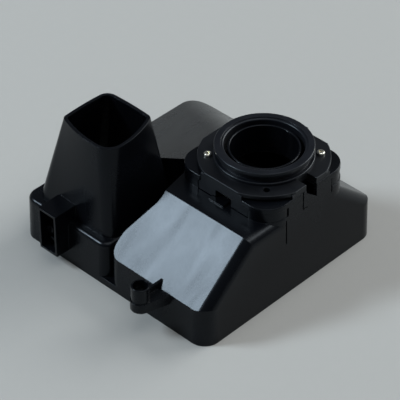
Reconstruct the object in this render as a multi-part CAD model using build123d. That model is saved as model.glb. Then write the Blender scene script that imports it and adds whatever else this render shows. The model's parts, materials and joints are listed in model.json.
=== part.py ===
"""Injection moulded duct housing with a tapered duct, a hipped hood and a sealed round inlet.

All sizes are in millimetres. The base rim lies on Z = 0, X runs along the front and Y to the
back. Shapes are drawn from the front left corner of the base, and every piece is moved at the
end so that the origin is under the middle of the whole part.
"""
from build123d import *
import math
import os

os.makedirs("parts", exist_ok=True)

# ---- moulding -----------------------------------------------------------------
wall = 2.5                      # wall of the housing
draft_angle = 1.7               # draft of every standing wall, degrees
fit_gap = 0.3                   # gap between pieces that drop into each other
least_radius = 0.5              # tightest round inside the moulding

# ---- base ---------------------------------------------------------------------
base_length = 190.0             # along X
base_width = 184.0              # along Y
base_corner_radius = 13.0
valley_floor_height = 6.0       # floor between the deck and the hood

# ---- deck that carries the duct --------------------------------------------------
deck_length = 91.0
deck_width = 76.5
deck_height = 36.5
deck_corner_radius = 12.0
deck_valley_radius = 9.0
deck_edge_radius = 3.5

# ---- tapered duct ----------------------------------------------------------------
duct_height = 71.5              # from the deck to the mouth
duct_margin_left = 8.8          # deck edge to duct foot
duct_margin_front = 8.0
duct_margin_valley = 3.5
duct_margin_back = 0.8
duct_foot_radius = 9.0
mouth_left = 16.0               # how far each side leans in from foot to mouth
mouth_front = 15.5
mouth_valley = 17.0
mouth_back = 7.6
mouth_corner_push_x = 9.0       # the corner over the valley stands out from the square
mouth_corner_push_y = 6.0
mouth_bows = [4.0, 4.0, 1.0, 1.0]           # front, right, back and left side
mouth_radii = [4.5, 13.5, 5.5, 8.5]         # from the front left corner round
duct_foot_bow = 0.4

# ---- hood ------------------------------------------------------------------------
eaves_height = 30.3             # top of the front wall
shelf_rise = 40.2               # from the eaves to the flat shelf in front of the neck
roof_pitch = 40.0               # front and back slopes, degrees
side_pitch = 26.0               # left slope, degrees
hood_left = 91.5                # left end of the front wall
hood_left_radius = 10.0
waist_start = 17.0              # Y where the left wall turns in
waist_inset = 11.5              # how far it turns in
waist_end = 43.0                # Y where it has turned in
waist_return = 6.5              # how far it comes back out at the rear wall
waist_radius = 12.0
hip_radius = 8.0                # round between the roof and the right wall
rear_hip_radius = 30.0          # round between the left and the back slope
rear_corner_radius = 3.0

# ---- neck ------------------------------------------------------------------------
neck_rise = 12.3                # from the shelf to the top of the neck
neck_margin = 19.2              # spigot to the front, left and right faces
neck_back_cut = 3.5             # the back face is nearer than that by this much
neck_corner_radius = 18.0
neck_back_setback = 72.3        # neck axis to the back of the base
lobe_thickness = 4.2            # flange on each corner of the neck
lobe_step = 0.5                 # the corner wall stands back under that flange
neck_edge_radius = 0.6
neck_deck = 2.5                 # flat top under the seal

# ---- spigot ----------------------------------------------------------------------
spigot_radius = 26.8
spigot_wall = 1.8
spigot_height = 12.2            # above the neck
spigot_depth = 12.0             # below the top of the neck
spigot_rim_radius = 0.7

# ---- seal cap --------------------------------------------------------------------
cap_plate = 3.2
cap_spacer = 1.5                # ring under the plate, as thick as the seal's flange
cap_corner_reach = 2.4          # corners of the plate follow a circle this much past its sides
cap_inset = 0.5                 # plate and flaps stand this far inside the neck faces
cap_spacer_inset = 2.0          # the ring stands this far inside the neck faces
shoulder_half = 20.0            # half width of a flap between the lobes' flanges
flap_left = 22.0                # a flap's sides below the flanges, from the neck axis
flap_right = 26.5
flap_thickness = 2.2
flap_bottom_gap = 0.5           # above the shelf
notch_width = 11.0              # notch in the right edge of the plate and in the neck under it
notch_depth = 9.5
notch_drop = 11.0               # from the top of the neck to the lower end of its slanting foot
plate_edge_radius = 0.5
arch_left = 5.0                 # arch in a flap over its tongue, from the neck axis
arch_right = 10.0
arch_height = 7.5
tab_width = 8.0                 # tab on the back edge of the plate
tab_reach = 4.0
tab_offset = 2.5                # its centre from the neck axis
open_hole_radius = 2.6          # the two holes without a screw

# ---- tongues of the neck that hold the flaps --------------------------------------
tongue_width = 14.0
tongue_offset = 0.8             # its centre to the left of the neck axis
tongue_reach = 4.0              # in front of the neck
tongue_thickness = 1.4

# ---- slits in the right wall of the neck --------------------------------------------
slit_width = 1.2
slit_depth = 1.5
panel_front = 25.0              # neck axis to the slits at both ends of the plain panel
panel_back = 21.8
front_slit_height = 7.5
back_slit_height = 12.5
hook_offset = 9.0               # neck axis to the slit beside the notch
hook_height = 15.0
hook_reach = 4.5                # foot of that slit
groove_offset = 26.8            # neck axis to the long groove under the shelf's level
groove_height = 21.0

# ---- lip seal --------------------------------------------------------------------
seal_spigot_gap = 2.6           # between the spigot and the rolled inner edge of the lip
seal_roll_width = 2.2
seal_stem_wall = 2.4
seal_lip_reach = 2.6            # past the stem
seal_lip_height = 10.5          # above the plate
seal_lip_thickness = 2.6
seal_bead_reach = 3.0           # past the stem
seal_bead_height = 2.4
seal_flange_reach = 1.8         # past the stem
seal_groove = 0.7               # groove between the lip and its rolled inner edge
seal_roll_depth = 7.5           # how far the rolled edge reaches down
seal_roll_radius = 1.3
seal_edge_radius = 0.8

# ---- screws ----------------------------------------------------------------------
screw_head_radius = 3.05
screw_head_gap = 0.68           # between the heads and the seal's bead
screw_head_height = 2.3
screw_shank_radius = 1.5
screw_length = 12.0
screw_clearance = 0.02
seat_gap = 0.02                 # under screw heads and the seal's bead
screw_recess_width = 0.8
screw_recess_length = 3.2
screw_recess_depth = 1.2
screw_boss_radius = 3.6

# ---- front lug -------------------------------------------------------------------
lug_x = 142.0
lug_reach = 15.8                # axis in front of the front wall
lug_boss_radius = 6.8
lug_hole_radius = 5.6
lug_boss_height = 12.7          # above the lug's plate
lug_tip_radius = 7.6
lug_root_half = 12.5
lug_depth = 7.6
lug_plate = 2.5
lug_rib_height = 5.0
lug_rib_thickness = 2.0

# ---- bracket on the deck -----------------------------------------------------------
bracket_left = 32.0
bracket_width = 18.2
bracket_bottom = 11.5
bracket_height = 37.3
bracket_reach = 11.5
bracket_wall = 1.8
bracket_boss_radius = 3.2
bracket_boss_hole = 1.5
bracket_boss_x = 5.5            # from the bracket's left side
bracket_boss_z = 16.4           # from its bottom
bracket_rib_z = 7.5

# ---- values worked out from the sizes above ------------------------------------------
draft_slope = math.tan(math.radians(draft_angle))
roof_slope = math.tan(math.radians(roof_pitch))
side_slope = math.tan(math.radians(side_pitch))
shelf_height = eaves_height + shelf_rise
neck_height = shelf_height + neck_rise
neck_half = spigot_radius + neck_margin
neck_back_half = neck_half - neck_back_cut
neck_x = base_length - neck_height * draft_slope - neck_half
neck_y = base_width - neck_back_setback
neck_right = neck_x + neck_half
flange_foot = neck_height - lobe_thickness
cap_top = neck_height + cap_spacer + cap_plate
cap_radius = neck_half + cap_corner_reach
cap_spacer_radius = neck_half - cap_spacer_inset
seal_bore_radius = spigot_radius + seal_spigot_gap
seal_lip_inner = seal_bore_radius + seal_roll_width
seal_stem_radius = seal_lip_inner + seal_stem_wall
seal_lip_radius = seal_stem_radius + seal_lip_reach
seal_bead_radius = seal_stem_radius + seal_bead_reach
seal_flange_radius = seal_stem_radius + seal_flange_reach
screw_pitch = (seal_bead_radius + screw_head_gap + screw_head_radius) / math.sqrt(2)
overrun = 5.0                   # how far cutting shapes run past what they cut


# ---- plan outlines -------------------------------------------------------------------
def shifted_corners(corners, inset):
    """Corners of a counter-clockwise outline after each side moves inward by inset."""
    shifted = []
    count = len(corners)
    for i in range(count):
        before, here, after = corners[i - 1], corners[i], corners[(i + 1) % count]
        ax, ay = here[0] - before[0], here[1] - before[1]
        bx, by = after[0] - here[0], after[1] - here[1]
        al, bl = math.hypot(ax, ay), math.hypot(bx, by)
        nax, nay = -ay / al, ax / al
        nbx, nby = -by / bl, bx / bl
        k = inset / (1 + nax * nbx + nay * nby)
        shifted.append((here[0] + k * (nax + nbx), here[1] + k * (nay + nby)))
    return shifted


def shifted_radii(corners, radii, inset):
    """Corner radii after the same move: outer corners get tighter, inner ones wider, sharp ones stay."""
    result = []
    count = len(corners)
    for i in range(count):
        before, here, after = corners[i - 1], corners[i], corners[(i + 1) % count]
        turn = (here[0] - before[0]) * (after[1] - here[1]) - (here[1] - before[1]) * (after[0] - here[0])
        change = -inset if turn > 0 else inset
        result.append(max(radii[i] + change, least_radius) if radii[i] else 0)
    return result


def outline(corners, radii, inset, height):
    """Flat face of a rounded outline at a height, its sides moved inward by inset."""
    points = shifted_corners(corners, inset)
    rounds = shifted_radii(corners, radii, inset)
    return Pos(0, 0, height) * make_face(FilletPolyline(*points, radius=rounds, close=True))


def drafted_block(corners, radii, inset, bottom, top):
    """Standing block on a rounded outline that is true at Z = 0 and leans in by the draft."""
    low = outline(corners, radii, inset + bottom * draft_slope, bottom)
    high = outline(corners, radii, inset + top * draft_slope, top)
    return loft([low, high], ruled=True)


def bar_along_x(profile, start, end):
    """Bar with a (Y, Z) profile from X = start to X = end."""
    face = make_face(Polyline(*profile, close=True))
    return extrude(Plane.YZ.offset(start) * face, end - start)


def bar_along_y(profile, start, end):
    """Bar with an (X, Z) profile from Y = start to Y = end."""
    face = make_face(Polyline(*profile, close=True))
    return extrude(Plane.XZ.offset(-start) * face, start - end)


def block(x0, x1, y0, y1, z0, z1):
    """Plain block between two corners."""
    return Pos((x0 + x1) / 2, (y0 + y1) / 2, (z0 + z1) / 2) * Box(x1 - x0, y1 - y0, z1 - z0)


# ---- housing: base and deck --------------------------------------------------------------
base_corners = [(0, 0), (base_length, 0), (base_length, base_width), (0, base_width)]
base_radii = [deck_corner_radius] + [base_corner_radius] * 3

deck_back = deck_width + 3 * wall
deck_corners = [(0, 0), (deck_length, 0), (deck_length, deck_back), (0, deck_back)]
deck_radii = [deck_corner_radius, deck_valley_radius, 0, 0]

hood_corners = [
    (hood_left, 0),
    (base_length, 0),
    (base_length, base_width),
    (0, base_width),
    (0, deck_width),
    (hood_left + waist_inset - waist_return, deck_width),
    (hood_left + waist_inset, waist_end),
    (hood_left, waist_start),
]
hood_radii = [
    hood_left_radius,
    base_corner_radius,
    base_corner_radius,
    base_corner_radius,
    rear_corner_radius,
    rear_corner_radius,
    waist_radius,
    waist_radius,
]


def deck_block(inset):
    """Deck above the valley floor, or the space under it when inset is the wall."""
    body = drafted_block(deck_corners, deck_radii, inset, valley_floor_height - inset, deck_height - inset)
    top_edges = body.edges().group_by(Axis.Z)[-1]
    return fillet(top_edges, max(deck_edge_radius - inset, least_radius))


# ---- housing: hood ---------------------------------------------------------------------------
def roof_drop(pitch, inset):
    """How far a slope sinks when it moves inward by inset."""
    return inset / math.cos(math.radians(pitch))


def roof_profile(cap, inset):
    """(Y, Z) profile of the front slope, the level top at cap, and the back slope."""
    drop = roof_drop(roof_pitch, inset)
    run = (cap - inset - eaves_height + drop) / roof_slope
    front = -overrun
    back = base_width + overrun
    low = eaves_height - drop - overrun * roof_slope
    return [
        (front, -overrun),
        (front, low),
        (run, cap - inset),
        (base_width - run, cap - inset),
        (back, low),
        (back, -overrun),
    ]


def side_profile(cap, inset):
    """(X, Z) profile of the left slope up to cap."""
    drop = roof_drop(side_pitch, inset)
    run = (cap - inset - eaves_height + drop) / side_slope
    right = base_length + overrun
    return [
        (-overrun, -overrun),
        (-overrun, eaves_height - drop - overrun * side_slope),
        (run, cap - inset),
        (right, cap - inset),
        (right, -overrun),
    ]


def is_right_hip(edge, inset):
    """True for the edges where the roof meets the right wall."""
    middle = edge @ 0.5
    near_wall = middle.X > base_length - inset - shelf_height * draft_slope - 1.0
    return near_wall and middle.Z > eaves_height - inset and abs((edge % 0.5).X) < 0.1


def is_rear_hip(edge, inset):
    """True for the edge where the left slope meets the back slope."""
    middle = edge @ 0.5
    left = eaves_height + middle.X * side_slope - roof_drop(side_pitch, inset)
    back = eaves_height + (base_width - middle.Y) * roof_slope - roof_drop(roof_pitch, inset)
    return abs(middle.Z - left) < 0.05 and abs(middle.Z - back) < 0.05


def round_rear_hip(body, inset):
    """Rounds the edge between the left and the back slope."""
    hips = [edge for edge in body.edges() if is_rear_hip(edge, inset)]
    return fillet(hips, rear_hip_radius - inset)


def hood_prism(inset):
    """The slopes and the shelf between them, closed by the right wall, with the hips rounded."""
    roof = bar_along_x(roof_profile(shelf_height, inset), -overrun, base_length + overrun)
    roof &= bar_along_y(side_profile(2 * shelf_height, inset), -overrun, base_width + overrun)
    square = [
        (-overrun, -overrun),
        (base_length, -overrun),
        (base_length, base_width + overrun),
        (-overrun, base_width + overrun),
    ]
    sharp = [0] * len(square)
    body = roof & drafted_block(square, sharp, inset, 0, shelf_height + overrun)
    hips = [edge for edge in body.edges() if is_right_hip(edge, inset) and edge.length > hip_radius]
    return round_rear_hip(fillet(hips, hip_radius - inset), inset)


def hood_shoulder(inset):
    """Taller part that carries the left slope up to the neck."""
    roof = bar_along_x(roof_profile(flange_foot, inset), -overrun, neck_x)
    slope = bar_along_y(side_profile(flange_foot, inset), deck_width + inset, base_width + overrun)
    sloped = round_rear_hip(roof & slope, inset)
    return sloped & drafted_block(hood_corners, hood_radii, inset, valley_floor_height - inset, flange_foot)


def hood_block(inset):
    """Hood above the valley floor, or the space inside it when inset is the wall."""
    plan = drafted_block(hood_corners, hood_radii, inset, valley_floor_height - inset, shelf_height)
    return (hood_prism(inset) & plan) + hood_shoulder(inset)


# ---- housing: neck ---------------------------------------------------------------------------
neck_flare = neck_height * draft_slope
neck_side_foot = neck_half + neck_flare
neck_back_foot = neck_back_half + neck_flare
neck_corners = [
    (neck_x - neck_side_foot, neck_y - neck_side_foot),
    (neck_x + neck_side_foot, neck_y - neck_side_foot),
    (neck_x + neck_side_foot, neck_y + neck_back_foot),
    (neck_x - neck_side_foot, neck_y + neck_back_foot),
]
neck_radii = [neck_corner_radius + neck_flare] * 4
neck_foot = eaves_height + 3 * wall
flap_pocket = flap_thickness + cap_inset + fit_gap
flap_bottom = shelf_height + flap_bottom_gap
axis = Pos(neck_x, neck_y, 0)
screw_places = [axis * Pos(sx * screw_pitch, sy * screw_pitch, 0) for sx, sy in [(-1, -1), (1, 1)]]
open_places = [axis * Pos(sx * screw_pitch, sy * screw_pitch, 0) for sx, sy in [(1, -1), (-1, 1)]]


def neck_block(inset, bottom, top):
    """Rounded block about the neck axis, flush with the right wall at no inset."""
    return drafted_block(neck_corners, neck_radii, inset, bottom, top)


def neck():
    """Neck with a flange round the top; its walls stand back under it except in the right panel."""
    body = neck_block(0, neck_foot, shelf_height)
    body += neck_block(lobe_step, shelf_height, flange_foot)
    panel_sides = (neck_y - panel_front, neck_y + panel_back)
    panel_room = block(neck_x, neck_right + overrun, *panel_sides, shelf_height, flange_foot)
    body += neck_block(0, shelf_height, flange_foot) & panel_room
    flange = neck_block(0, flange_foot, neck_height)
    return body + fillet(flange.edges().group_by(Axis.Z)[-1], neck_edge_radius)


def face_blocks(left, right, depth, reach, low, top):
    """Front and back blocks along the neck faces, between distances to the left and right of the axis."""
    front_face = neck_y - neck_half
    back_face = neck_y + neck_back_half
    front = block(neck_x - left, neck_x + right, front_face - reach, front_face + depth, low, top)
    back = block(neck_x - left, neck_x + right, back_face - depth, back_face + reach, low, top)
    return front + back


def flap_pockets():
    """Pockets that the flaps drop into, narrower between the lobes' flanges."""
    left = flap_left + fit_gap
    right = flap_right + fit_gap
    half = shoulder_half + fit_gap
    low = shelf_height
    wide = face_blocks(left, right, flap_pocket, overrun, low, flange_foot + fit_gap)
    return wide + face_blocks(half, half, flap_pocket, overrun, low, neck_height + overrun)


def neck_space():
    """Air space in the neck; a wall is left all round and behind both pockets."""
    space = neck_block(wall + lobe_step, neck_foot + wall, neck_height - neck_deck)
    left = flap_left + fit_gap + wall
    right = flap_right + fit_gap + wall
    return space - face_blocks(left, right, flap_pocket + wall, overrun, shelf_height - wall, neck_height)


def arches(depth):
    """Arch over each tongue, cut through a flap and, further in, through the neck."""
    return face_blocks(arch_left, arch_right, depth, overrun, shelf_height, shelf_height + arch_height)


def tongues(gap):
    """Flat tongues on the shelf's level that reach out through the flaps, or the room they need."""
    left = tongue_width / 2 + tongue_offset + gap
    right = tongue_width / 2 - tongue_offset + gap
    low = shelf_height - tongue_thickness / 2
    depth = flap_pocket + wall
    return face_blocks(left, right, depth, tongue_reach, low, shelf_height + tongue_thickness + gap)


def right_slit(front, back, low, top):
    """Slit into the neck's right wall, as deep at its foot as at its top."""
    depth = slit_depth - (neck_height - top) * draft_slope
    return block(neck_right - depth, neck_right + overrun, neck_y + front, neck_y + back, low, top)


def right_slits():
    """Slits at both ends of the panel, the hooked slit beside the notch, and the long groove."""
    half = slit_width / 2
    slits = right_slit(-panel_front - half, half - panel_front, flange_foot - front_slit_height, flange_foot)
    slits += right_slit(panel_back - half, panel_back + half, flange_foot - back_slit_height, flange_foot)
    hook_foot = neck_height - hook_height
    hook_back = hook_reach - hook_offset
    slits += right_slit(-hook_offset - half, half - hook_offset, hook_foot, neck_height + overrun)
    slits += right_slit(-hook_offset - half, hook_back, hook_foot - half, hook_foot + half)
    low = shelf_height - wall - groove_height
    return slits + right_slit(-groove_offset - half, half - groove_offset, low, low + groove_height)


def upright(radius, bottom, top):
    """Upright round bar on the origin."""
    return Pos(0, 0, bottom) * extrude(Circle(radius), top - bottom)


def neck_notch():
    """Cut through the neck's right wall and deck under the plate's notch, with a slanting foot."""
    half = notch_width / 2
    over = neck_height + overrun
    profile = [
        (neck_y - half, neck_height - neck_deck),
        (neck_y + half, neck_height - notch_drop),
        (neck_y + half, over),
        (neck_y - half, over),
    ]
    return bar_along_x(profile, neck_right - notch_depth, neck_right + overrun)


# ---- housing: tapered duct ---------------------------------------------------------------------
foot_left = duct_margin_left
foot_front = duct_margin_front
foot_right = deck_length - duct_margin_valley
foot_back = deck_width - duct_margin_back
mouth_height = deck_height + duct_height


def bowed_outline(corners, bows, radii, inset, height):
    """Flat face with four bowed sides and rounded corners, moved inward by inset."""
    sides = []
    for i, start in enumerate(corners):
        end = corners[(i + 1) % len(corners)]
        run_x, run_y = end[0] - start[0], end[1] - start[1]
        length = math.hypot(run_x, run_y)
        middle_x = (start[0] + end[0]) / 2 + run_y / length * bows[i]
        middle_y = (start[1] + end[1]) / 2 - run_x / length * bows[i]
        sides.append(ThreePointArc(start, (middle_x, middle_y), end))
    face = make_face(sides)
    for corner, radius in zip(corners, radii):
        nearest = sorted(face.vertices(), key=lambda v: math.hypot(v.X - corner[0], v.Y - corner[1]))[0]
        face = fillet(nearest, radius)
    centre = face.center()
    arcs = [moved_arc(edge, inset, centre) for edge in face.edges()]
    return Pos(0, 0, height) * make_face(arcs)


def moved_arc(edge, inset, centre):
    """Arc that runs beside an edge, nearer to the centre by inset."""
    points = []
    for share in (0, 0.5, 1):
        point = edge @ share
        along = edge % share
        across = Vector(-along.Y, along.X)
        if across.dot(centre - point) < 0:
            across = -across
        points.append(point + across * inset)
    return ThreePointArc(*points)


def duct_foot(inset, height):
    """Outline of the duct where it stands on the deck."""
    corners = [
        (foot_left, foot_front),
        (foot_right, foot_front),
        (foot_right, foot_back),
        (foot_left, foot_back),
    ]
    return bowed_outline(corners, [duct_foot_bow] * 4, [duct_foot_radius] * 4, inset, height)


def duct_mouth(inset, height):
    """Outline of the duct's mouth."""
    left = foot_left + mouth_left
    front = foot_front + mouth_front
    right = foot_right - mouth_valley
    back = foot_back - mouth_back
    corners = [
        (left, front),
        (right + mouth_corner_push_x, front - mouth_corner_push_y),
        (right, back),
        (left, back),
    ]
    return bowed_outline(corners, mouth_bows, mouth_radii, inset, height)


def duct_block(inset):
    """Tapered duct with a straight root in the deck, or the air space when inset is the wall."""
    taper = loft([duct_foot(inset, deck_height), duct_mouth(inset, mouth_height)], ruled=True)
    root = extrude(duct_foot(inset, deck_height), -deck_edge_radius)
    return taper + root


# ---- housing: lug ------------------------------------------------------------------------------
def lug_outline(inset):
    """Outline from the front wall to the round tip."""
    root = lug_root_half - inset
    tip = Pos(lug_x, -lug_reach) * Circle(lug_tip_radius - inset)
    foot = Pos(lug_x, wall / 2) * Rectangle(2 * root, wall)
    return make_hull((tip + foot).edges())


def lug():
    """Screw lug: skirted plate with a round boss and a rib back to the slope."""
    bottom = eaves_height - lug_depth
    plate = Pos(0, 0, bottom) * extrude(lug_outline(0), lug_depth)
    pocket_depth = lug_depth - lug_plate
    pocket = Pos(0, 0, bottom - overrun) * extrude(lug_outline(lug_rib_thickness), pocket_depth + overrun)
    place = Pos(lug_x, -lug_reach, 0)
    boss = upright(lug_boss_radius, bottom, eaves_height + lug_boss_height)
    boss = place * fillet(boss.edges().group_by(Axis.Z)[-1], neck_edge_radius)
    hole = place * upright(lug_hole_radius, bottom - overrun, eaves_height + lug_boss_height + overrun)
    half = lug_rib_thickness / 2
    rib_top = eaves_height + lug_rib_height
    rib_end = (lug_rib_height + wall / 2) / roof_slope
    rib = block(lug_x - half, lug_x + half, -lug_reach, rib_end, eaves_height - wall / 2, rib_top)
    return plate - pocket + boss + rib - hole


# ---- housing: bracket ----------------------------------------------------------------------------
def bracket():
    """Open-fronted bracket between the deck's front wall and the duct."""
    right = bracket_left + bracket_width
    top = bracket_bottom + bracket_height
    duct_side = foot_front + 2 * wall
    body = block(bracket_left, right, -bracket_reach, wall, bracket_bottom, deck_height)
    body += block(bracket_left, right, -bracket_reach, duct_side, deck_height - wall, top)
    inner_left = bracket_left + bracket_wall
    inner_right = right - bracket_wall
    front = -bracket_reach - overrun
    low = bracket_bottom + bracket_wall
    body -= block(inner_left, inner_right, front, -bracket_wall / 2, low, top - bracket_wall)
    body -= block(inner_left, inner_right, front, foot_front - wall, deck_height + wall, top - bracket_wall)
    boss_x = bracket_left + bracket_boss_x
    lying = Pos(boss_x, 0, bracket_bottom + bracket_boss_z) * Rot(90, 0, 0)
    body += lying * upright(bracket_boss_radius, 0, bracket_reach / 2)
    rib_low = bracket_bottom + bracket_rib_z
    body += block(boss_x, right - bracket_wall / 2, -bracket_reach / 2, 0, rib_low, rib_low + bracket_wall)
    return body - lying * upright(bracket_boss_hole, bracket_wall, bracket_reach)


def duct_housing():
    """The whole moulding: deck, duct, hood, neck with spigot, lug and bracket."""
    body = drafted_block(base_corners, base_radii, 0, 0, valley_floor_height)
    body += deck_block(0)
    body += hood_block(0)
    body += neck()
    body += duct_block(0)
    body += lug()
    body += bracket()

    body -= drafted_block(base_corners, base_radii, wall, -overrun, valley_floor_height - wall)
    body -= deck_block(wall)
    body -= hood_block(wall)
    body -= neck_space()
    body -= duct_block(wall)
    body -= flap_pockets()
    body -= arches(flap_pocket + 2 * wall)
    body += tongues(0)
    body -= neck_notch()
    body -= right_slits()

    post_foot = neck_height - screw_length
    hole_foot = post_foot + neck_deck
    for place in screw_places:
        body += place * upright(screw_boss_radius, post_foot, neck_height)
        body -= place * upright(screw_shank_radius + screw_clearance, hole_foot, neck_height + overrun)
    for place in open_places:
        body += place * upright(screw_boss_radius, post_foot, neck_height)
        body -= place * upright(screw_shank_radius, hole_foot, neck_height + overrun)
    spigot_top = neck_height + spigot_height
    tube = upright(spigot_radius, neck_height - spigot_depth, spigot_top)
    body -= axis * tube
    tube -= upright(spigot_radius - spigot_wall, neck_height - spigot_depth - overrun, spigot_top + overrun)
    return body + axis * fillet(tube.edges().group_by(Axis.Z)[-1], spigot_rim_radius)


# ---- seal cap ------------------------------------------------------------------------------------
def cap_plate_blank():
    """Round-cornered plate on its spacer ring."""
    side = neck_half - cap_inset
    back = neck_back_half - cap_inset
    square = Pos(0, (back - side) / 2) * Rectangle(2 * side, side + back)
    plate = extrude(square & Circle(cap_radius), cap_plate)
    plate = fillet(plate.edges().group_by(Axis.Z)[-1], plate_edge_radius)
    ring = extrude(Circle(cap_spacer_radius) & square, cap_spacer)
    return axis * Pos(0, 0, neck_height) * (ring + Pos(0, 0, cap_spacer) * plate)


def flaps():
    """Front and back flap, wider below the lobes' flanges, and the short skirt on the right."""
    depth = flap_thickness + cap_inset
    top = cap_top - cap_plate / 2
    body = face_blocks(shoulder_half, shoulder_half, depth, -cap_inset, flap_bottom, top)
    body += face_blocks(flap_left, flap_right, depth, -cap_inset, flap_bottom, flange_foot)
    body -= arches(flap_pocket)
    body -= tongues(fit_gap)
    skirt_sides = (neck_y - shoulder_half, neck_y + shoulder_half)
    return body + block(neck_right - depth, neck_right - cap_inset, *skirt_sides, neck_height, top)


def seal_cap():
    """Plate that clamps the seal, with two flaps that drop over the neck's tongues."""
    plate_foot = neck_height + cap_spacer
    over = cap_top + overrun
    tab_left = neck_x - tab_offset - tab_width / 2
    tab_middle = neck_y + neck_back_half - cap_inset
    cap = cap_plate_blank() + flaps()
    cap += block(
        tab_left, tab_left + tab_width, tab_middle - tab_reach, tab_middle + tab_reach, plate_foot, cap_top
    )
    cap -= axis * upright(seal_flange_radius + fit_gap, neck_height - overrun, plate_foot)
    cap -= axis * upright(seal_stem_radius + fit_gap, neck_height - overrun, over)
    for place in screw_places:
        cap -= place * upright(screw_shank_radius + screw_clearance, neck_height - overrun, over)
    for place in open_places:
        cap -= place * upright(open_hole_radius, neck_height - overrun, over)
    notch_sides = (neck_y - notch_width / 2, neck_y + notch_width / 2)
    return cap - block(neck_right - notch_depth, neck_right + overrun, *notch_sides, neck_height, over)


# ---- lip seal ------------------------------------------------------------------------------------
def lip_seal():
    """Rubber ring: clamped flange, bead on the plate, stem, and a lip with a rolled inner edge."""
    lip_top = cap_top + seal_lip_height
    lip_foot = lip_top - seal_lip_thickness
    flange_top = neck_height + cap_spacer - seat_gap
    bead_foot = cap_top + seat_gap
    bead_top = cap_top + seal_bead_height
    inner = seal_stem_radius - seal_stem_wall
    roll = seal_bore_radius
    profile = [
        ((inner, neck_height + seat_gap), 0),
        ((seal_flange_radius, neck_height + seat_gap), 0),
        ((seal_flange_radius, flange_top), 0),
        ((seal_stem_radius, flange_top), 0),
        ((seal_stem_radius, bead_foot), 0),
        ((seal_bead_radius, bead_foot), 0),
        ((seal_bead_radius, bead_top), seal_edge_radius),
        ((seal_stem_radius, bead_top), 0),
        ((seal_stem_radius, lip_foot), 0),
        ((seal_lip_radius, lip_foot), 0),
        ((seal_lip_radius, lip_top), seal_edge_radius),
        ((seal_lip_inner, lip_top), 0),
        ((seal_lip_inner, lip_top - seal_groove), 0),
        ((seal_lip_inner - seal_groove, lip_top - seal_groove), 0),
        ((roll, lip_top - seal_groove), seal_roll_radius),
        ((roll, lip_top - seal_roll_depth), 0),
        ((inner, lip_top - seal_roll_depth - wall), 0),
    ]
    points = [point for point, _ in profile]
    rounds = [radius for _, radius in profile]
    section = make_face(FilletPolyline(*points, radius=rounds, close=True))
    return axis * revolve(Plane.XZ * section, Axis.Z)


# ---- screws --------------------------------------------------------------------------------------
def pan_screw():
    """Pan head screw with a cross recess, standing on the origin's axis."""
    seat = cap_top + seat_gap
    head = upright(screw_head_radius, seat, seat + screw_head_height)
    head = fillet(head.edges().group_by(Axis.Z)[-1], screw_head_height / 2)
    recess_foot = seat + screw_head_height - screw_recess_depth
    half = screw_recess_width / 2
    arm = screw_recess_length / 2
    head -= block(-arm, arm, -half, half, recess_foot, seat + 2 * screw_head_height)
    head -= block(-half, half, -arm, arm, recess_foot, seat + 2 * screw_head_height)
    return head + upright(screw_shank_radius, seat - screw_length, seat + screw_head_height / 3)


pieces = {
    "duct_housing": duct_housing(),
    "seal_cap": seal_cap(),
    "lip_seal": lip_seal(),
    "front_screw": screw_places[0] * pan_screw(),
    "rear_screw": screw_places[1] * pan_screw(),
}
to_middle = Pos(-base_length / 2, -(base_width - lug_reach - lug_tip_radius) / 2, 0)
for name, piece in pieces.items():
    export_step(to_middle * piece, f"parts/{name}.step")
    print(name, "volume", round(piece.volume), "solids", len(piece.solids()), "valid", piece.is_valid)
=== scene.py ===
"""Moulded duct housing on a studio floor: finishes for the frame's nodes, the stage and the lights."""
import json
import logging
from dataclasses import dataclass, field
from enum import Enum

import bpy
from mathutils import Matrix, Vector

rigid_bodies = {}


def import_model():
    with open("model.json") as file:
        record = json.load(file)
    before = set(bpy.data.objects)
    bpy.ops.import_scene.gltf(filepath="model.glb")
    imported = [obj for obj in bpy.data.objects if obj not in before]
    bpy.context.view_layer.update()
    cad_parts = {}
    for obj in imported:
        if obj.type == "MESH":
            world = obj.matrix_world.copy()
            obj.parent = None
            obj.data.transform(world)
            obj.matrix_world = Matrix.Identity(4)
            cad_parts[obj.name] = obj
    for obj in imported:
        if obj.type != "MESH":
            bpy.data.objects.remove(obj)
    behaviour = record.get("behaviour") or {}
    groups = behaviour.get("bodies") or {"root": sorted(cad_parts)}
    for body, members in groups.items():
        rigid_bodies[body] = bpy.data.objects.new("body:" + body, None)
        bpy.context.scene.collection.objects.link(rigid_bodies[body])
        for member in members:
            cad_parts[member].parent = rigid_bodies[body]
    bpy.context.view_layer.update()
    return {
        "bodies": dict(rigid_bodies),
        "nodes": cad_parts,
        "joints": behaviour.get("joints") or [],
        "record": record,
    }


LOG = logging.getLogger("duct_housing_scene")
Point = tuple[float, float, float]
Colour = tuple[float, float, float, float]


class Surface(Enum):
    """Named kinds of surface texture, each with the stretch of its broad marks."""

    FLOW = (1.0, 0.3, 0.4)
    FINE = (1.0, 1.0, 1.0)
    RUBBER = (1.0, 1.0, 0.3)
    PLATED = (1.0, 1.0, 2.0)


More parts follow.
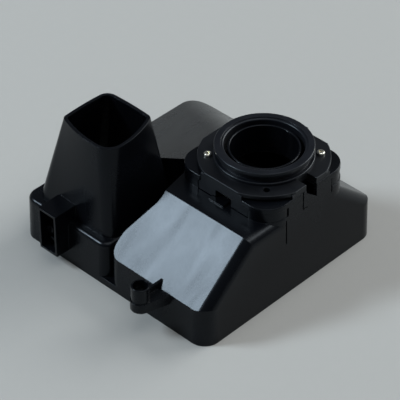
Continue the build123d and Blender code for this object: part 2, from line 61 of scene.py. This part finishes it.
@dataclass
class Graph:
    """A material's node tree, with short ways to add the nodes that every finish needs."""

    material: bpy.types.Material

    def __post_init__(self) -> None:
        """Keeps the tree's nodes, its links and its shader at hand."""
        self.nodes = self.material.node_tree.nodes
        self.links = self.material.node_tree.links
        self.shader = self.nodes["Principled BSDF"]

    def add(self, kind: str, **values: object) -> bpy.types.Node:
        """Adds a node.

        Args:
            kind: Blender's name for the node, without its ShaderNode start.
            values: Values of its inputs, by name with underscores for spaces.

        Returns:
            The node.
        """
        node = self.nodes.new("ShaderNode" + kind)
        for key, value in values.items():
            node.inputs[key.replace("_", " ")].default_value = value
        return node

    def join(
        self, source: bpy.types.Node, output: str, target: bpy.types.Node, entry: str
    ) -> None:
        """Links an output of one node to an input of another."""
        self.links.new(source.outputs[output], target.inputs[entry])

    def place(self, stretch: Point) -> bpy.types.Node:
        """Adds coordinates that keep to the object.

        Args:
            stretch: Scale of the coordinates along each axis.

        Returns:
            The mapping node.
        """
        source = self.add("TexCoord")
        node = self.add("Mapping", Scale=stretch)
        self.join(source, "Object", node, "Vector")
        return node

    def noise(
        self, place: bpy.types.Node, scale: float, detail: float, twist: float = 0.0
    ) -> bpy.types.Node:
        """Adds a noise texture on placed coordinates.

        Args:
            place: Mapping node.
            scale: Cells per metre.
            detail: Octaves.
            twist: Distortion.

        Returns:
            The noise node.
        """
        node = self.add("TexNoise", Scale=scale, Detail=detail, Distortion=twist)
        self.join(place, "Vector", node, "Vector")
        return node

    def spread(
        self, source: bpy.types.Node, half: float, start: float, end: float
    ) -> bpy.types.Node:
        """Maps the middle of a noise's values to a range.

        Args:
            source: Noise node.
            half: Reach of the mapped values on each side of the noise's middle value.
            start: Result at the low end.
            end: Result at the high end.

        Returns:
            The range node.
        """
        middle = 0.5
        node = self.add(
            "MapRange", From_Min=middle - half, From_Max=middle + half, To_Min=start, To_Max=end
        )
        self.join(source, "Fac", node, "Value")
        return node

    def tint(self, source: bpy.types.Node, output: str, first: Colour, second: Colour) -> None:
        """Mixes the shader's base colour from two colours.

        Args:
            source: Node that says how much of the second colour shows.
            output: Its output.
            first: Colour where it gives 0.
            second: Colour where it gives 1.
        """
        mix = self.nodes.new("ShaderNodeMix")
        mix.data_type = "RGBA"
        mix.inputs["A"].default_value = first
        mix.inputs["B"].default_value = second
        self.join(source, output, mix, "Factor")
        self.join(mix, "Result", self.shader, "Base Color")


@dataclass(frozen=True)
class Finish:
    """One finish: colour, gloss, broad marks, grain and the soft line along its edges."""

    name: str
    colour: Colour
    shade: Colour
    surface: Surface
    roughness: float
    rough_spread: float
    specular: float
    marks_per_metre: float
    grain_per_metre: float
    grain_metres: float
    wave_metres: float
    edge_metres: float
    metallic: float = 0.0
    sheen: float = 0.0
    gloss_tint: Colour = (0.82, 0.90, 1.0, 1)
    marks_octaves: float = 4.0
    marks_twist: float = 0.6
    grain_octaves: float = 3.0
    colour_half: float = 0.15
    gloss_half: float = 0.2
    grain_share: float = 0.3
    edge_samples: int = 6

    def build(self) -> bpy.types.Material:
        """Makes the node material.

        Returns:
            The material, with colour, roughness and bump from its nodes.
        """
        material = bpy.data.materials.new(self.name)
        material.use_nodes = True
        graph = Graph(material)
        graph.shader.inputs["Metallic"].default_value = self.metallic
        graph.shader.inputs["Specular IOR Level"].default_value = self.specular
        graph.shader.inputs["Sheen Weight"].default_value = self.sheen
        graph.shader.inputs["Specular Tint"].default_value = self.gloss_tint
        long = graph.place(self.surface.value)
        flat = graph.place(Surface.FINE.value)
        marks = graph.noise(long, self.marks_per_metre, self.marks_octaves, self.marks_twist)
        grain = graph.noise(flat, self.grain_per_metre, self.grain_octaves)
        amount = graph.spread(marks, self.colour_half, 0.0, 1.0)
        graph.tint(amount, "Result", self.colour, self.shade)
        self._gloss(graph, marks, grain)
        self._relief(graph, marks, grain)
        return material

    def _gloss(self, graph: Graph, marks: bpy.types.Node, grain: bpy.types.Node) -> None:
        """Varies the roughness.

        Args:
            graph: The material's nodes.
            marks: Noise of the broad marks, which does most of it.
            grain: Noise of the grain, which adds its share.
        """
        low = self.roughness - self.rough_spread
        high = self.roughness + self.rough_spread
        small_reach = self.grain_share * self.rough_spread
        broad = graph.spread(marks, self.gloss_half, low, high)
        small = graph.spread(grain, self.gloss_half, -small_reach, small_reach)
        total = graph.add("Math")
        graph.links.new(broad.outputs["Result"], total.inputs[0])
        graph.links.new(small.outputs["Result"], total.inputs[1])
        graph.join(total, "Value", graph.shader, "Roughness")

    def _relief(self, graph: Graph, marks: bpy.types.Node, grain: bpy.types.Node) -> None:
        """Rounds the edges and lays waves and grain over the surface.

        Args:
            graph: The material's nodes.
            marks: Noise of the broad marks, which makes the waves.
            grain: Noise of the grain.
        """
        rounded = graph.add("Bevel", Radius=self.edge_metres)
        rounded.samples = self.edge_samples
        wave = graph.add("Bump", Strength=1.0, Distance=self.wave_metres)
        fine = graph.add("Bump", Strength=1.0, Distance=self.grain_metres)
        graph.join(rounded, "Normal", wave, "Normal")
        graph.join(marks, "Fac", wave, "Height")
        graph.join(wave, "Normal", fine, "Normal")
        graph.join(grain, "Fac", fine, "Height")
        graph.join(fine, "Normal", graph.shader, "Normal")


HOUSING = Finish(
    name="black_moulding",
    colour=(0.0014, 0.0017, 0.0026, 1),
    shade=(0.0022, 0.0027, 0.0040, 1),
    surface=Surface.FLOW,
    roughness=0.255,
    rough_spread=0.03,
    specular=0.19,
    marks_per_metre=55.0,
    grain_per_metre=900.0,
    grain_metres=2e-6,
    wave_metres=1.2e-5,
    edge_metres=0.0006,
)
CAP = Finish(
    name="black_cap",
    colour=(0.0016, 0.0018, 0.0028, 1),
    shade=(0.0026, 0.0029, 0.0042, 1),
    surface=Surface.FINE,
    roughness=0.42,
    rough_spread=0.03,
    specular=0.35,
    marks_per_metre=60.0,
    grain_per_metre=1100.0,
    grain_metres=5e-6,
    wave_metres=8e-6,
    edge_metres=0.0006,
)
SEAL = Finish(
    name="seal_rubber",
    colour=(0.0024, 0.0030, 0.0050, 1),
    shade=(0.0038, 0.0046, 0.0072, 1),
    surface=Surface.RUBBER,
    roughness=0.34,
    rough_spread=0.04,
    specular=0.3,
    marks_per_metre=90.0,
    grain_per_metre=1300.0,
    grain_metres=6e-6,
    wave_metres=1e-5,
    edge_metres=0.0005,
    sheen=0.02,
)
SCREW = Finish(
    name="bright_nickel",
    colour=(0.92, 0.90, 0.82, 1),
    shade=(0.80, 0.77, 0.66, 1),
    surface=Surface.PLATED,
    roughness=0.22,
    rough_spread=0.05,
    specular=0.5,
    marks_per_metre=300.0,
    grain_per_metre=2500.0,
    grain_metres=4e-6,
    wave_metres=1e-5,
    edge_metres=0.00015,
    metallic=1.0,
    gloss_tint=(1.0, 0.98, 0.92, 1),
)


@dataclass
class Moulding:
    """A frame node that keeps its shape and gets a finish."""

    node: str
    finish: Finish

    def dress(self, frame: dict, built: dict[str, bpy.types.Material]) -> None:
        """Puts the finish on every slot of the node.

        Args:
            frame: The loaded frame.
            built: Materials made so far, by name; a new one is added to it.
        """
        node = frame["nodes"][self.node]
        if self.finish.name not in built:
            built[self.finish.name] = self.finish.build()
        if not node.material_slots:
            node.data.materials.append(built[self.finish.name])
        for held in node.material_slots:
            held.material = built[self.finish.name]
        LOG.info("dressed %s with %s", self.node, self.finish.name)


def stand(thing: bpy.types.Object, place: Point, target: Point) -> None:
    """Puts a lamp or a camera in its place, turned to what it faces, and shows it.

    Args:
        thing: The lamp or the camera.
        place: Where it stands.
        target: What it faces.
    """
    sight = Vector(target) - Vector(place)
    thing.location = place
    thing.rotation_euler = sight.to_track_quat("-Z", "Y").to_euler()
    bpy.context.scene.collection.objects.link(thing)


@dataclass(frozen=True)
class Softbox:
    """A square softbox: where it hangs, what it faces, its size, power and colour."""

    name: str
    place: Point
    target: Point
    side: float
    watts: float
    colour: Point

    def hang(self) -> None:
        """Hangs the softbox."""
        data = bpy.data.lights.new(self.name, "AREA")
        data.shape = "SQUARE"
        data.size = self.side
        data.energy = self.watts
        data.color = self.colour
        stand(bpy.data.objects.new(self.name, data), self.place, self.target)
        LOG.info("hung %s", self.name)


SLOPE_SOFTBOX = Softbox(
    name="slope_softbox",
    place=(-1.833, -1.964, 2.31),
    target=(0.045, -0.056, 0.05),
    side=0.86,
    watts=90.0,
    colour=(0.80, 0.92, 1.0),
)
TOP_SOFTBOX = Softbox(
    name="top_softbox",
    place=(1.0, 0.2, 4.6),
    target=(0.0, 0.0, 0.0),
    side=4.0,
    watts=74.0,
    colour=(0.97, 0.99, 0.975),
)
REAR_SOFTBOX = Softbox(
    name="rear_softbox",
    place=(1.1, 3.5, 2.1),
    target=(0.0, 0.0, 0.0),
    side=3.0,
    watts=158.0,
    colour=(0.97, 0.99, 0.975),
)


@dataclass
class Stage:
    """Floor, softboxes, the room's even light and the camera."""

    floor_half: float = 6.0
    floor_colour: Colour = (0.392, 0.392, 0.384, 1)
    floor_shade: Colour = (0.382, 0.382, 0.374, 1)
    floor_roughness: float = 0.85
    floor_specular: float = 0.2
    fibres_per_metre: float = 120.0
    fibre_octaves: float = 6.0
    room_colour: Colour = (0.60, 0.64, 0.70, 1)
    room_strength: float = 0.2
    eye: Point = (0.8159, -0.8334, 0.9826)
    aim: Point = (-0.02554, 0.03943, 0.0)
    lens: float = 182.506
    sensor: float = 36.0
    softboxes: list[Softbox] = field(
        default_factory=lambda: [SLOPE_SOFTBOX, TOP_SOFTBOX, REAR_SOFTBOX]
    )

    def set(self) -> None:
        """Lays the floor, hangs the lights and stands the camera."""
        self.floor()
        for box in self.softboxes:
            box.hang()
        self.room()
        self.camera()

    def floor(self) -> None:
        """Lays the floor of matt paper."""
        h = self.floor_half
        corners = [(-h, -h, 0), (h, -h, 0), (h, h, 0), (-h, h, 0)]
        mesh = bpy.data.meshes.new("studio_floor")
        mesh.from_pydata(corners, [], [(0, 1, 2, 3)])
        floor = bpy.data.objects.new("studio_floor", mesh)
        bpy.context.scene.collection.objects.link(floor)
        material = bpy.data.materials.new("studio_paper")
        material.use_nodes = True
        graph = Graph(material)
        graph.shader.inputs["Roughness"].default_value = self.floor_roughness
        graph.shader.inputs["Specular IOR Level"].default_value = self.floor_specular
        place = graph.place(Surface.FINE.value)
        fibres = graph.noise(place, self.fibres_per_metre, self.fibre_octaves)
        graph.tint(fibres, "Fac", self.floor_colour, self.floor_shade)
        mesh.materials.append(material)

    def room(self) -> None:
        """Sets the room's even light."""
        world = bpy.data.worlds.new("studio_room")
        world.use_nodes = True
        background = world.node_tree.nodes["Background"]
        background.inputs["Color"].default_value = self.room_colour
        background.inputs["Strength"].default_value = self.room_strength
        bpy.context.scene.world = world

    def camera(self) -> None:
        """Stands the camera where it looks down on the front right corner."""
        data = bpy.data.cameras.new("studio_camera")
        data.lens = self.lens
        data.sensor_width = self.sensor
        camera = bpy.data.objects.new("studio_camera", data)
        stand(camera, self.eye, self.aim)
        bpy.context.scene.camera = camera


def main() -> None:
    """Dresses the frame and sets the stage."""
    logging.basicConfig(level=logging.INFO)
    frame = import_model()
    bpy.context.scene.view_settings.view_transform = "Standard"
    built: dict[str, bpy.types.Material] = {}
    pieces = [
        Moulding("duct_housing", HOUSING),
        Moulding("seal_cap", CAP),
        Moulding("lip_seal", SEAL),
        Moulding("front_screw", SCREW),
        Moulding("rear_screw", SCREW),
    ]
    for piece in pieces:
        piece.dress(frame, built)
    Stage().set()


if __name__ == "__main__":
    main()
